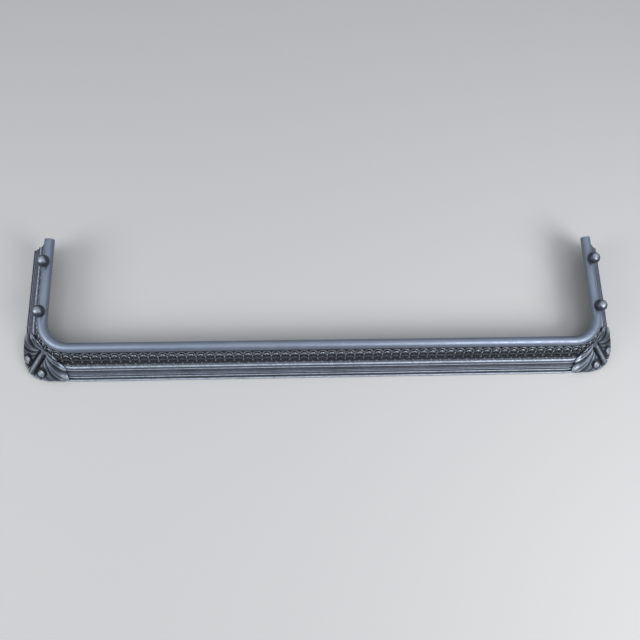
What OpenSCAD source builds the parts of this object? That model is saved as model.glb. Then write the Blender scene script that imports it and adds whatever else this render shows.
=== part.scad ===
// Cast-iron fire fender: a U-shaped kerb with a pierced arcaded fret, a half-round top rail,
// acanthus corners and two ball knobs on each return. Millimetres, +Z up, front towards -Y.
// Sections are drawn in a (d, z) plane: d runs outwards from the rail's centreline, z is height.

/* [Overall] */
// Width over the foot of the kerb
kerb_w = 1220; // [900:10:1500]
// Depth from the front of the foot to the back ends
kerb_d = 278; // [240:1:360]
// Height of the rail's top above the hearth
rail_top = 82; // [78:1:92]
// Bend radius of the rail's centreline at the front corners
corner_r = 55; // [50:1:75]

/* [Rail] */
// Width of the half-round rail
rail_w = 19; // [17:0.5:22]
// Height of the rail, straight edge and round top together
rail_t = 12; // [11:0.5:14]

/* [Kerb] */
// How far the foot stands out from the rail's centreline
splay = 55; // [53:0.5:60]
// Height of the ledge that carries the fret
kerb_h = 34; // [32:0.5:36]
// How far the ledge's outer edge stands out from the rail's centreline
ledge_out = 30; // [28:0.5:31]
// Wall of the kerb casting
wall = 5; // [4:0.5:6]
// Height of the plain upright edge at the foot
plinth_h = 8; // [6:0.5:9]
// Radius of the round moulding on the foot
torus_r = 2.5; // [2:0.1:3]
// Radius of the bead above it
bead_r = 2.2; // [1.8:0.1:2.4]
// Radius of each fine reed
reed_r = 1.5; // [1.2:0.1:1.7]
// Radius of the broad band under the fret
band_r = 4.5; // [4:0.1:5]
// Radius of the thin fillet along the ledge
fillet_r = 1.5; // [1.2:0.1:1.8]

/* [Fret] */
// Thickness of the fret casting
fret_t = 4; // [3.5:0.25:5]
// Width aimed at for one bay of the arcade
bay = 18.5; // [17:0.5:21]
// Width of the arches' rims and the pillars
rib_w = 2.2; // [1.8:0.1:2.6]
// How far the raised edge at the fret's head stands proud of its face
rib_h = 1.2; // [0.8:0.1:1.4]
// Solid band above the arches
crown_band = 3.2; // [2.5:0.1:4.5]
// Length of the pillars under the arches
pillar = 7; // [6:0.25:7.5]
// Reach of the fret's top flange inwards from the rail's centreline
flange_in = 7; // [6:0.5:8]

/* [Knobs] */
// Radius of each ball knob
ball_r = 12.5; // [10:0.5:15]
// Radius of the collar under each ball
collar_r = 6.5; // [6:0.25:8]
// Height of the collar
collar_h = 1.5; // [1:0.25:3]
// Front knobs, measured back from the front rail's centreline
front_knob = 68; // [66:1:80]
// Rear knobs, measured back from the front rail's centreline
rear_knob = 170; // [140:1:180]

/* [Fasteners] */
// Radius of the knob studs and the joint bolts
stud_r = 3; // [2.5:0.25:3.5]
// Radius of the rail and fret screws
screw_r = 2; // [1.75:0.25:2.25]
// Radius of the screws' heads
head_r = 3.6; // [3.2:0.1:4]
// Width across flats of the nuts
nut_af = 10; // [9:0.5:11]
// Thickness of the nuts
nut_t = 5; // [4:0.5:6]

/* [Acanthus] */
// Half angle that the leaf spreads round the corner
leaf_spread = 34; // [30:1:37]
// How far the leaf stands proud at the foot of the corner
leaf_proud = 20; // [16:0.5:24]
// Half width of the strap down the leaf's middle
strap_half = 4.4; // [3.5:0.1:5.5]
// Radius of the curled eyes beside the strap
eye_r = 6.8; // [5:0.2:8]

/* [Hidden] */
$fn = 48;

iron = [0.13, 0.14, 0.17];
dark_iron = [0.08, 0.085, 0.1];
rail_iron = [0.3, 0.33, 0.39];
steel = [0.42, 0.42, 0.44];

// Clearance where one piece seats on another, and the extra radius of a hole over its bolt
fit = 0.2;
bore_fit = 0.1;

// The rail's centreline in plan, with the whole fender centred on the origin
rail_x = kerb_w / 2 - splay;
rail_y = splay - kerb_d / 2;
back_y = kerb_d / 2;
corner_x = rail_x - corner_r;
corner_y = rail_y + corner_r;
front_len = 2 * corner_x;
return_len = back_y - corner_y;

// Heights
rail_z = rail_top - rail_t;
flange_top = rail_z - fit;
flange_bottom = flange_top - fret_t;

// The fret's outer face runs down a slope from under the rail to the ledge
reveal = 1.5;
fret_head = [rail_w / 2 - reveal, flange_top];
fret_foot = [ledge_out, kerb_h];
slope_len = norm(fret_foot - fret_head) - fit;
slope = (fret_foot - fret_head) / norm(fret_foot - fret_head);
slope_out = [-slope[1], slope[0]];
slope_angle = atan2(-slope[1], slope[0]);
// A point v down the slope and n out of the fret's face
function on_slope(v, n) = fret_head + v * slope + n * slope_out;

// Bays of the arcade
front_bays = 2 * round(front_len / bay / 2);
return_bays = round(return_len / bay);
corner_bays = 6;
// Bays that are made together, in one stretch of plate
bay_group = 9;
// Width of a bay round the corner, at a place v down the slope
function corner_bay(v) = (corner_r + on_slope(v, 0)[0]) * 90 / corner_bays * PI / 180;

// One bay of the fret, in the plane of its face: x along it, y down the slope
crescent_r = 5.6;
crescent_drop = 1.6;
crescent_gap_r = 4.9;
crescent_gap_drop = 4;
stem_w = 1.8;
spandrel_r = 2.6;
lower_gap = 2.2;
lower_rise = 6.5;
lower_depth = 8.4;
lower_stem = 2.7;
lower_stem_w = 1.4;
eyelet_r = 1.3;
eyelet_up = 6.4;
notch_r = 1.8;
small_notch_r = 1;
edge_w = 2;

// Kerb members, placed on the line from the ledge down to the top of the plinth
lip_h = 10;
lip_t = 4;
lip_face = -fret_t - fit;
scotia_r = 2.8;
quirk = 2.2;
ledge = fret_foot;
plinth_top = [splay, plinth_h];
fall = (plinth_top - ledge) / norm(plinth_top - ledge);
fall_out = [-fall[1], fall[0]];
torus_at = plinth_top + [-torus_r, torus_r];
bead_at = torus_at - fall * (torus_r + bead_r + quirk) - fall_out * 0.6;
reed1_at = bead_at - fall * (bead_r + reed_r + 0.8);
reed2_at = reed1_at - fall * (2 * reed_r + 0.3);
band_at = ledge + fall * (fillet_r + band_r) - fall_out * (band_r - 3);
fillet_at = ledge + fall * (fillet_r + fit) + fall_out * 0.2;
scotia_at = (reed2_at - fall * reed_r + band_at + fall * band_r) / 2 + fall_out * scotia_r / 2;
inner_foot = [splay - wall, 0];
inner_hip = plinth_top - fall_out * wall - [1.2, 0];
inner_band = band_at - fall_out * (wall + band_r - 2);
lip_back = on_slope(slope_len, lip_face - lip_t);

// Lugs inside the ends of the kerb sections, and the bolts through them
lug_t = 6;
lug_low = [splay - 31, 6];
bolt_at = [splay - 25, 13];
bolt_head_t = 4;

// Screws up into the rail, one in each corner and the rest shared out along the straights
rail_screw_pitch = 240;
rail_screw_depth = 7;
csk_depth = head_r - screw_r;
// Screws into the foot of the fret, from inside
fret_screw_pitch = 170;
fret_screw_v = slope_len - 6;
fret_screw_depth = 3;
head_t = 2.2;

// ---- Placing: each section is drawn outwards along +X and runs towards -Y ----
module run(from, to) {
    translate([0, -from, 0]) rotate([90, 0, 0]) linear_extrude(to - from) children();
}

module bend() {
    rotate([0, 0, -90]) rotate_extrude(angle = 90, $fn = 96) translate([corner_r, 0]) children();
}

module on_front() {
    translate([corner_x, rail_y, 0]) rotate([0, 0, -90]) children();
}

module on_return() {
    translate([rail_x, back_y, 0]) children();
}

module on_corner() {
    translate([corner_x, corner_y, 0]) children();
}

// A place round the corner, 0 on the return's side and -90 on the front's
module at_angle(a) {
    rotate([0, 0, a]) translate([corner_r, 0, 0]) children();
}

module left_hand() {
    mirror([1, 0, 0]) children();
}

// Local x along the run, y down the slope and z out of the fret's face
module on_face() {
    translate([fret_head[0], 0, fret_head[1]]) rotate([0, slope_angle, 0]) rotate([0, 0, -90]) children();
}

// Places shared out evenly between two ends, at most a pitch apart and half a step in from each end
function shared(length, pitch) = let (n = ceil(length / pitch)) [for (i = [0:n - 1]) (i + 0.5) * length / n];

// Rail screws on the straights: along the front, and on the return clear of the knobs
front_screws = shared(front_len, rail_screw_pitch);
knob_runs = [back_y - rail_y - rear_knob, back_y - rail_y - front_knob];
return_screws = [knob_runs[0] / 2, (knob_runs[0] + knob_runs[1]) / 2];

// Fret screws stand behind the pillars, at the nearest edge of a bay
function at_bay(length, bays) = [for (p = shared(length, fret_screw_pitch))
    round(p * bays / length) * length / bays];

// ---- Rail ----
module rail_section() {
    intersection() {
        translate([0, rail_top - rail_w / 2]) circle(r = rail_w / 2);
        translate([-rail_w, rail_z]) square([2 * rail_w, rail_t + 1]);
    }
    translate([-rail_w / 2, rail_z]) square([rail_w, rail_t - rail_w / 2]);
}

module rail_hole() {
    translate([0, 0, rail_z - 1]) cylinder(r = screw_r + bore_fit, h = rail_screw_depth + 1);
}

module stud_hole() {
    translate([0, 0, flange_bottom - 1]) cylinder(r = stud_r + bore_fit, h = rail_top - flange_bottom + 2);
}

module half_rail() {
    on_return() run(0, return_len) rail_section();
    on_corner() bend() rail_section();
}

module top_rail() color(rail_iron) difference() {
    union() {
        on_front() run(0, front_len) rail_section();
        half_rail();
        left_hand() half_rail();
    }
    on_front() for (p = front_screws) translate([0, -p, 0]) rail_hole();
    for (side = [0, 1]) mirror([side, 0, 0]) {
        on_corner() at_angle(-45) rail_hole();
        on_return() for (p = return_screws) translate([0, -p, 0]) rail_hole();
        on_return() for (p = knob_runs) translate([0, -p, 0]) stud_hole();
    }
}

// ---- Kerb ----
// The casting from the lip and the ledge down to the hearth
module kerb_section() {
    difference() {
        union() {
            polygon([
                [splay, 0], plinth_top, torus_at, bead_at, reed1_at, reed2_at, band_at, fillet_at, ledge,
                on_slope(slope_len + fit, lip_face), on_slope(slope_len - lip_h, lip_face),
                on_slope(slope_len - lip_h, lip_face - lip_t), lip_back, inner_band, inner_hip, inner_foot
            ]);
            translate(torus_at) circle(r = torus_r);
            translate(bead_at) circle(r = bead_r);
            translate(reed1_at) circle(r = reed_r);
            translate(reed2_at) circle(r = reed_r);
            translate(band_at) circle(r = band_r);
            translate(fillet_at) circle(r = fillet_r);
        }
        translate(scotia_at) circle(r = scotia_r);
    }
}

// Lug that closes the hollow at the end of a section
module lug_section() {
    polygon([
        lip_back, lug_low + [1, 18], lug_low, lug_low + [4, -3], inner_foot + [-4, 3],
        inner_foot + [0.5, 3], inner_hip + [0.5, 0], inner_band + fall_out * 0.5
    ]);
}

module bolt_hole() {
    translate([bolt_at[0], lug_t + 1, bolt_at[1]]) rotate([90, 0, 0])
        cylinder(r = stud_r + bore_fit, h = 2 * lug_t + 2);
}

module lip_hole() {
    on_face() translate([0, fret_screw_v, lip_face - lip_t - 1])
        cylinder(r = screw_r + bore_fit, h = lip_t + 2);
}

// Straight kerb, with a lug at each end that meets a corner
module kerb_run(length, bays, front) difference() {
    from = front ? fit : 0;
    union() {
        run(from, length - fit) kerb_section();
        run(length - fit - lug_t, length - fit) lug_section();
        if (front) run(fit, fit + lug_t) lug_section();
    }
    translate([0, -length, 0]) bolt_hole();
    if (front) bolt_hole();
    for (p = at_bay(length, bays)) translate([0, -p, 0]) lip_hole();
}

module corner_kerb() color(iron) on_corner() difference() {
    union() {
        bend() kerb_section();
        at_angle(0) run(0, lug_t) lug_section();
        at_angle(-90) run(-lug_t, 0) lug_section();
    }
    for (a = [0, -90]) at_angle(a) bolt_hole();
    at_angle(-45) lip_hole();
    for (a = acanthus_studs) at_angle(a) acanthus_stud(stud_r + bore_fit, 1);
}

module front_kerb() color(iron) on_front() kerb_run(front_len, front_bays, true);

module return_kerb() color(iron) on_return() kerb_run(return_len, return_bays, false);

// ---- Fret ----
// The flange under the rail with the thicker band below it, and for a whole section the plate to the ledge
band_v = crown_band - 0.2;
band_h = 0.3;
module flange_section(whole) {
    band_back = fret_t + band_h;
    inner_corner = on_slope((fret_t - band_back * slope_out[1]) / -slope[1], -band_back);
    edge_top = on_slope(rib_h * slope_out[1] / -slope[1], rib_h);
    plate = whole ? [on_slope(band_v, 0), on_slope(slope_len, 0), on_slope(slope_len, -fret_t),
        on_slope(band_v, -fret_t)] : [];
    polygon(concat(
        [[-flange_in, flange_top], edge_top, on_slope(edge_w, rib_h), on_slope(edge_w, band_h)],
        [on_slope(band_v, band_h)], plate,
        [on_slope(band_v, -band_back), inner_corner, [-flange_in, flange_bottom]]
    ));
}

// Crown of the arch to its springing, and down to the sill
function springing(b) = crown_band + rib_w / 2 + b / 2;
function sill(b) = springing(b) + pillar;

module crescent(b) {
    difference() {
        translate([0, springing(b) + crescent_drop]) circle(r = crescent_r);
        translate([0, springing(b) + crescent_gap_drop]) circle(r = crescent_gap_r);
    }
}

// Round-headed opening, a hair narrower between the pillars, with the crescent left standing in it on a stem
module arch_opening(b) {
    r = b / 2 - rib_w / 2;
    half = 0.97 * r;
    difference() {
        union() {
            translate([0, springing(b)]) circle(r = r);
            translate([-half, springing(b)]) square([2 * half, pillar]);
        }
        translate([-b / 2, sill(b)]) square([b, b]);
        crescent(b);
        translate([-stem_w / 2, springing(b) - 1.5]) square([stem_w, pillar + 2]);
    }
}

// Three-cornered hole between the heads of two arches
module spandrel(b) {
    difference() {
        translate([0, crown_band + spandrel_r]) circle(r = spandrel_r);
        for (side = [-1, 1]) translate([side * b / 2, springing(b)]) circle(r = b / 2 + rib_w / 2);
    }
}

// Radius of the low arch whose rib springs from the pillars
function lower_r(b) = (b * b / 4 + lower_rise * lower_rise) / 2 / lower_rise;

// Low arch in the second tier, pierced in three
module lower_opening(b, top) {
    r = lower_r(b);
    half = b / 2 - rib_w;
    difference() {
        intersection() {
            translate([0, top + lower_gap + r]) circle(r = r - rib_w / 2);
            translate([-half, top]) square([2 * half, lower_gap + lower_depth]);
        }
        for (side = [-1, 1]) translate([side * lower_stem - lower_stem_w / 2, top])
            square([lower_stem_w, 2 * lower_depth]);
    }
}

module foot_holes() {
    for (side = [-1, 1]) translate([side * 2 * lower_stem, slope_len - eyelet_up]) circle(r = eyelet_r);
    translate([0, slope_len]) circle(r = small_notch_r);
}

// All that is cut through at the middle of a bay, and at its edge
module bay_cut(b, b_low) {
    arch_opening(b);
    lower_opening(b_low, sill(b));
    foot_holes();
}

module edge_cut(b) {
    spandrel(b);
    translate([0, slope_len - notch_r / 2]) circle(r = notch_r);
}

module through() {
    translate([0, 0, -fret_t - 1]) linear_extrude(fret_t + 2) children();
}

module flange_hole() {
    translate([0, 0, flange_bottom - 1]) cylinder(r = screw_r + bore_fit, h = fret_t + 2);
    translate([0, 0, flange_bottom - 0.01])
        cylinder(r1 = head_r + bore_fit, r2 = screw_r + bore_fit, h = csk_depth);
}

module foot_hole() {
    on_face() translate([0, fret_screw_v, -fret_t - 1])
        cylinder(r = screw_r + bore_fit, h = fret_screw_depth + 1);
}

// Straight fret: the flange with its top band, and below it the pierced plate, made a few bays at a time
plate_in = 0.1;
module fret_run(length, bays, from, to, screws, studs) {
    step = length / bays;
    top = band_v - 0.5;
    difference() {
        run(from, to) flange_section(false);
        for (p = screws) translate([0, -p, 0]) flange_hole();
        for (p = studs) translate([0, -p, 0]) stud_hole();
    }
    for (first = [0:bay_group:bays - 1]) {
        last = min(first + bay_group, bays);
        start = max(from + plate_in, first * step);
        end = min(to - plate_in, last * step);
        difference() {
            on_face() translate([0, 0, -fret_t]) linear_extrude(fret_t) difference() {
                polygon([[start, top], [end, top], [end, slope_len], [start, slope_len]]);
                for (i = [first:last - 1]) translate([(i + 0.5) * step, 0]) bay_cut(step, step);
                for (i = [max(1, first):min(last, bays - 1)]) translate([i * step, 0]) edge_cut(step);
            }
            for (p = at_bay(length, bays)) if (near(p, start, end)) translate([0, -p, 0]) foot_hole();
        }
    }
}

// Whether a hole at p reaches a stretch
function near(p, start, end) = p > start - head_r - 1 && p < end + head_r + 1;

module front_fret() color(dark_iron) on_front()
    fret_run(front_len, front_bays, fit, front_len - fit, front_screws, []);

module return_fret() color(dark_iron) on_return()
    fret_run(return_len, return_bays, 0, return_len - fit, return_screws, knob_runs);

module corner_fret() color(dark_iron) on_corner() {
    b = corner_bay(springing(bay));
    b_low = corner_bay(sill(bay) + lower_depth);
    step = 90 / corner_bays;
    difference() {
        bend() flange_section(true);
        for (i = [0:corner_bays - 1]) at_angle(-(i + 0.5) * step) on_face() through() bay_cut(b, b_low);
        for (i = [1:corner_bays - 1]) at_angle(-i * step) on_face() through() edge_cut(b);
        at_angle(-45) flange_hole();
        at_angle(-45) foot_hole();
    }
}

// ---- Acanthus ----
// The leaf's back lies on the fret, the band and the torus, and stands on the plinth's face
leaf_fit = 0.3;
torus_fit = 2.4;
leaf_back = [
    on_slope(slope_len * 0.56, leaf_fit),
    band_at + (band_r + leaf_fit) * fall_out,
    torus_at + (torus_r + torus_fit) * fall_out,
    torus_at + [torus_r + torus_fit, 0],
    [splay + leaf_fit, 1]
];
function reach(path, n) = n == 0 ? 0 : reach(path, n - 1) + norm(path[n] - path[n - 1]);
leaf_drop = reach(leaf_back, len(leaf_back) - 1);
leaf_w = leaf_spread * PI / 180 * (corner_r + splay);
function back_axis(t, k) = t < 0 ? (leaf_back[0] + t * leaf_drop * slope)[k]
    : lookup(t, [for (i = [0:len(leaf_back) - 1]) [reach(leaf_back, i) / leaf_drop, leaf_back[i][k]]]);

// The leaf is a fan of fronds. Hollows lie between them at these bearings from straight down, the fan reaches
// so far at a bearing and is so wide at a drop, and its middle stands proud: all as shares of the whole
hollows = [9, 24, 38, 50, 62, 76, 100];
fan_reach = [[0, 0.98], [9, 0.98], [24, 1.05], [38, 1.23], [47, 1.4], [56, 1.37], [65, 1.02], [72, 0.8],
    [80, 0.51], [90, 0.3], [100, 0.14]];
fan_spread = 1.02;
half_width = [[0, 0.16], [0.13, 0.41], [0.32, 0.74], [0.56, 0.97], [0.8, 1.13], [1, 1.07]];
swell = [[0, 0.12], [0.2, 0.3], [0.4, 0.5], [0.6, 0.72], [0.8, 0.93], [0.9, 1], [1, 0.95]];
lobe_depth = 0.17;
sweep = 15;
edge_h = 1.5;
strap_h = 1.5;
groove_depth = 6;
frond_h = 3.4;
channel_h = 1.1;
curl_h = 1.4;
eye_x = 17.5;
eye_t = 0.64;
eye_h = 4;
ring_w = 1.5;
ring_depth = 3;

// Columns of the fan: place across the strap, bearing, and place across a frond, which is under 0 on none
frond_cols = 6;
side_cols = [
    [1, 1.5, -1], [1, 5, -0.5],
    for (k = [1:len(hollows) - 1], i = [0:frond_cols - 1])
        [1, hollows[k - 1] + (hollows[k] - hollows[k - 1]) * i / frond_cols, i / frond_cols],
    [1, hollows[len(hollows) - 1], 1]
];
fan_cols = [
    for (i = [len(side_cols) - 1:-1:0]) [-1, -side_cols[i][1], side_cols[i][2]],
    for (k = [-1, -0.6, 0, 0.6, 1]) [k, 0, -1],
    each side_cols
];
// Rows run from just under the tip to the rim
leaf_rows = 16;
fan_rows = [for (j = [0:leaf_rows]) 0.06 + 0.94 * j / leaf_rows];

function hump(x, w) = exp(-x * x / w / w);
function ease(x, low, high) = let (t = min(1, max(0, (x - low) / (high - low)))) t * t * (3 - 2 * t);
// Ridge of a frond with a channel along it, which grows from the tip and curls up at the rim
function frond_rise(place, q) = place < 0 ? 0
    : frond_h * (pow(max(0, sin(180 * place)), 0.7) - 0.75) * ease(q, 0.04, 0.45)
        - channel_h * hump(place - 0.5, 0.13) * ease(q, 0.2, 0.6) + curl_h * ease(q, 0.72, 0.9);
// Strap between its two grooves
function strap_rise(column, t) = column[2] >= 0 ? 0
    : column[1] == 0 ? strap_h * sqrt(1 - 0.85 * column[0] * column[0])
        : -groove_depth * ease(t, 0.08, 0.2) * (1 - ease(t, 0.7, 0.85));
function eye_rise(eye) = eye_h * max(0, 1 - eye * eye / eye_r / eye_r)
    - ring_depth * hump(eye - eye_r - ring_w, ring_w);
function leaf_rise(column, q, x, t) =
    let (across = min(1, abs(x) / lookup(t, half_width) / leaf_w * fan_spread))
    let (dome = (leaf_proud * lookup(t, swell) - edge_h) * pow(1 - pow(across, 1.7), 0.8))
    let (eye = norm([abs(x) - eye_x, (t - eye_t) * leaf_drop]))
    let (h = edge_h + dome + frond_rise(column[2], q) + strap_rise(column, t) + eye_rise(eye))
    max(edge_h / 2, h) * (1 - 0.45 * ease(q, 0.9, 1));

// The carving rises square to the slope at the tip and straight outwards at the foot, and draws in towards
// its ends to stay over the kerb's own foot
function leaf_point(column, q, rise) =
    let (b = abs(column[1]), place = column[2])
    let (lobe = place < 0 ? -place : pow(4 * place * (1 - place), 0.45))
    let (out = lookup(b, fan_reach) * (1 - lobe_depth * (1 - lobe)) * q)
    let (bearing = b + sweep * sin(min(2.2 * b, 180)) * pow(1 - q, 1.3))
    let (t = out * cos(bearing), aside = sign(column[1]) * out * sin(bearing) * leaf_w / fan_spread)
    let (x = column[0] * strap_half * ease(t, -0.05, 0.3) + aside)
    let (back = [back_axis(t, 0), back_axis(t, 1)], base = corner_r + back[0], a = x / base * 180 / PI)
    let (lean = atan2(slope_out[1], slope_out[0]) * (1 - min(1, max(0, t) / 0.8)))
    let (h = rise ? leaf_rise(column, q, x, t) : 0)
    let (room = (corner_r + splay) / cos(45 - abs(a)) - base)
    let (proud = h * cos(lean) / pow(1 + pow(h * cos(lean) / max(room, 0.01), 4), 0.25))
    [(base + proud) * cos(a), (base + proud) * sin(a), back[1] + h * sin(lean)];

module leaf() {
    leaf_cols = len(fan_cols) - 1;
    cols = leaf_cols + 1;
    rows = leaf_rows + 1;
    points = [for (rise = [true, false], q = fan_rows, column = fan_cols) leaf_point(column, q, rise)];
    function at(side, j, i) = (side * rows + j) * cols + i;
    function quad(a, b, c, d) = [[a, b, c], [a, c, d]];
    skin = [for (j = [0:leaf_rows - 1], i = [0:leaf_cols - 1])
        each quad(at(0, j, i), at(0, j, i + 1), at(0, j + 1, i + 1), at(0, j + 1, i))];
    back = [for (j = [0:leaf_rows - 1], i = [0:leaf_cols - 1])
        each quad(at(1, j, i), at(1, j + 1, i), at(1, j + 1, i + 1), at(1, j, i + 1))];
    sides = [for (j = [0:leaf_rows - 1], i = [0, leaf_cols])
        each i == 0 ? quad(at(0, j, i), at(0, j + 1, i), at(1, j + 1, i), at(1, j, i))
            : quad(at(0, j, i), at(1, j, i), at(1, j + 1, i), at(0, j + 1, i))];
    ends = [for (i = [0:leaf_cols - 1], j = [0, leaf_rows])
        each j == 0 ? quad(at(0, j, i), at(1, j, i), at(1, j, i + 1), at(0, j, i + 1))
            : quad(at(0, j, i), at(0, j, i + 1), at(1, j, i + 1), at(1, j, i))];
    polyhedron(points, concat(skin, back, sides, ends), convexity = 8);
}

// Studs cast into the leaf's back go through the kerb, square to its inner face
stud_spread = 14;
acanthus_studs = [-45 - stud_spread, -45 + stud_spread];
inner_run = (inner_hip - inner_band) / norm(inner_hip - inner_band);
inner_out = [-inner_run[1], inner_run[0]];
stud_seat = (inner_hip + inner_band) / 2;
stud_in = nut_t + 3;
stud_out = 12;

module on_inner_face() {
    lean = 90 - atan2(inner_out[1], inner_out[0]);
    translate([stud_seat[0], 0, stud_seat[1]]) rotate([0, lean, 0]) children();
}

module acanthus_stud(r, extra) {
    on_inner_face() translate([0, 0, -stud_in - extra]) cylinder(r = r, h = stud_in + stud_out + extra);
}

module acanthus() color(iron) on_corner() {
    rotate([0, 0, -45]) leaf();
    for (a = acanthus_studs) at_angle(a) acanthus_stud(stud_r, 0);
}

// ---- Knobs ----
stud_top = 9;
module knob() {
    ball_z = rail_top + collar_h + sqrt(ball_r * ball_r - collar_r * collar_r);
    difference() {
        rotate_extrude() {
            intersection() {
                translate([0, ball_z]) circle(r = ball_r);
                square([2 * ball_r, 2 * ball_z]);
            }
            translate([0, rail_top - 3]) square([collar_r, collar_h + 3]);
        }
        translate([0, ball_r, rail_top - rail_w / 2]) rotate([90, 0, 0])
            cylinder(r = rail_w / 2 + fit, h = 2 * ball_r, $fn = 96);
        translate([0, 0, rail_z]) cylinder(r = stud_r + bore_fit, h = rail_t + stud_top + fit);
    }
}

module knob_on(side, p) color(iron) mirror([side, 0, 0]) on_return() translate([0, -p, 0]) knob();

// ---- Fasteners ----
module nut() {
    difference() {
        cylinder(d = nut_af / cos(30), h = nut_t, $fn = 6);
        translate([0, 0, -1]) cylinder(r = stud_r + bore_fit, h = nut_t + 2);
    }
}

module on_knobs() {
    for (side = [0, 1], p = knob_runs) mirror([side, 0, 0]) on_return() translate([0, -p, 0]) children();
}

module knob_studs() color(steel) on_knobs() {
    foot = flange_bottom - nut_t - 1.5;
    translate([0, 0, foot]) cylinder(r = stud_r, h = rail_top + stud_top - foot);
}

module knob_nuts() color(steel) on_knobs() translate([0, 0, flange_bottom - fit - nut_t]) rotate(30) nut();

// Countersunk screw from below the flange
module rail_screw() {
    translate([0, 0, flange_bottom]) {
        cylinder(r1 = head_r, r2 = screw_r, h = csk_depth);
        cylinder(r = screw_r, h = fret_t + fit + rail_screw_depth - 0.5);
    }
}

module rail_screws() color(steel) {
    on_front() for (p = front_screws) translate([0, -p, 0]) rail_screw();
    for (side = [0, 1]) mirror([side, 0, 0]) {
        on_corner() at_angle(-45) rail_screw();
        on_return() for (p = return_screws) translate([0, -p, 0]) rail_screw();
    }
}

// Round-headed screw from inside, through the lip and into the fret's foot
module fret_screw() {
    on_face() translate([0, fret_screw_v, lip_face - lip_t - fit]) {
        translate([0, 0, -head_t]) cylinder(r = head_r, h = head_t);
        cylinder(r = screw_r, h = lip_t + 2 * fit + fret_screw_depth - 0.5);
    }
}

module fret_screws() color(steel) {
    on_front() for (p = at_bay(front_len, front_bays)) translate([0, -p, 0]) fret_screw();
    for (side = [0, 1]) mirror([side, 0, 0]) {
        on_corner() at_angle(-45) fret_screw();
        on_return() for (p = at_bay(return_len, return_bays)) translate([0, -p, 0]) fret_screw();
    }
}

// The joints between the corner kerbs and their neighbours: bolt heads on the corner's side
module on_joints() {
    for (side = [0, 1]) mirror([side, 0, 0]) on_corner() {
        at_angle(0) translate([bolt_at[0], 0, bolt_at[1]]) rotate([90, 0, 0]) children();
        at_angle(-90) mirror([0, 1, 0]) translate([bolt_at[0], 0, bolt_at[1]]) rotate([90, 0, 0]) children();
    }
}

module joint_bolts() color(steel) on_joints() {
    point = -lug_t - 2 * fit - nut_t - 2;
    translate([0, 0, lug_t + fit]) cylinder(d = nut_af / cos(30), h = bolt_head_t, $fn = 6);
    translate([0, 0, point]) cylinder(r = stud_r, h = lug_t + fit + 0.1 - point);
}

module joint_nuts() color(steel) on_joints() translate([0, 0, -lug_t - 2 * fit - nut_t]) nut();

module acanthus_nuts() color(steel) for (side = [0, 1]) mirror([side, 0, 0]) on_corner()
    for (a = acanthus_studs) at_angle(a) on_inner_face() translate([0, 0, -nut_t - fit]) nut();

front_kerb();
left_hand() corner_kerb();  // left_corner_kerb
corner_kerb();  // right_corner_kerb
left_hand() return_kerb();  // left_return_kerb
return_kerb();  // right_return_kerb
front_fret();
left_hand() corner_fret();  // left_corner_fret
corner_fret();  // right_corner_fret
left_hand() return_fret();  // left_return_fret
return_fret();  // right_return_fret
left_hand() acanthus();  // left_corner_acanthus
acanthus();  // right_corner_acanthus
top_rail();
knob_on(1, knob_runs[0]);  // left_rear_knob
knob_on(1, knob_runs[1]);  // left_front_knob
knob_on(0, knob_runs[1]);  // right_front_knob
knob_on(0, knob_runs[0]);  // right_rear_knob
knob_studs();
knob_nuts();
rail_screws();
fret_screws();
joint_bolts();
joint_nuts();
acanthus_nuts();
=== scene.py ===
"""Looks of a cast-iron fire fender: rail, pierced fret, moulded kerb, acanthus corners and ball knobs.

Everything is in metres in the frame's own axes: +Z up, +X along the front to the right, +Y to the open back.
A section is drawn in (d, z): d runs outwards from the rail's centreline and z is height.
A place on the fret's face is (u, v, n): u along it, v down it from the head, n out of it.
A place on an acanthus is (x, s, h) in mm: x across it, s down its back from the tip, h out of its back.
"""

import math
from functools import partial

import bmesh
import bpy
import numpy as np
from bpy.props import FloatProperty, FloatVectorProperty, IntProperty, PointerProperty
from mathutils import Matrix, Vector


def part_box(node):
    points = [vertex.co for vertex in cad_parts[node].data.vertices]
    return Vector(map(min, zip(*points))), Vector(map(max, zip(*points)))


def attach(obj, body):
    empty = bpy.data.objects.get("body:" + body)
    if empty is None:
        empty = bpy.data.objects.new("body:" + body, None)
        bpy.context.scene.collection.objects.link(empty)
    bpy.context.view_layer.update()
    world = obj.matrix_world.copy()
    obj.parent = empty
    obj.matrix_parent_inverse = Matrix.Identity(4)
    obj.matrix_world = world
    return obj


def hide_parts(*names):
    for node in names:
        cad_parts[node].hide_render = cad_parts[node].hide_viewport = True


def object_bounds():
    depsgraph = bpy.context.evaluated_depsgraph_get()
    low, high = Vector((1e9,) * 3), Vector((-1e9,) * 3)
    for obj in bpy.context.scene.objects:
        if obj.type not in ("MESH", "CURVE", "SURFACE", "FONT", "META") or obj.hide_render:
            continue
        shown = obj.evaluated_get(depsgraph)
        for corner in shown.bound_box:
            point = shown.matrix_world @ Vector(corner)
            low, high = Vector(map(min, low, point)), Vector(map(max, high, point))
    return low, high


bl_info = {
    "name": "Cast-iron Fire Fender",
    "version": (1, 0, 0),
    "blender": (4, 5, 0),
    "location": "View3D > Sidebar > Fender",
    "description": "Dresses a cast-iron fire fender with its relief, finishes, light and camera",
    "category": "Object",
}

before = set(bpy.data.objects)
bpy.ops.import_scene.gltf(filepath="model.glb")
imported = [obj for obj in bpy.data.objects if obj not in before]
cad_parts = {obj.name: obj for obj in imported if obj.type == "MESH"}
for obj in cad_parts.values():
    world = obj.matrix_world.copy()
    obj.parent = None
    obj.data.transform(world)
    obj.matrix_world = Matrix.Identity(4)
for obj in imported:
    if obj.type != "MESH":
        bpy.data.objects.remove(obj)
cad_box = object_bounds()

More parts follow.
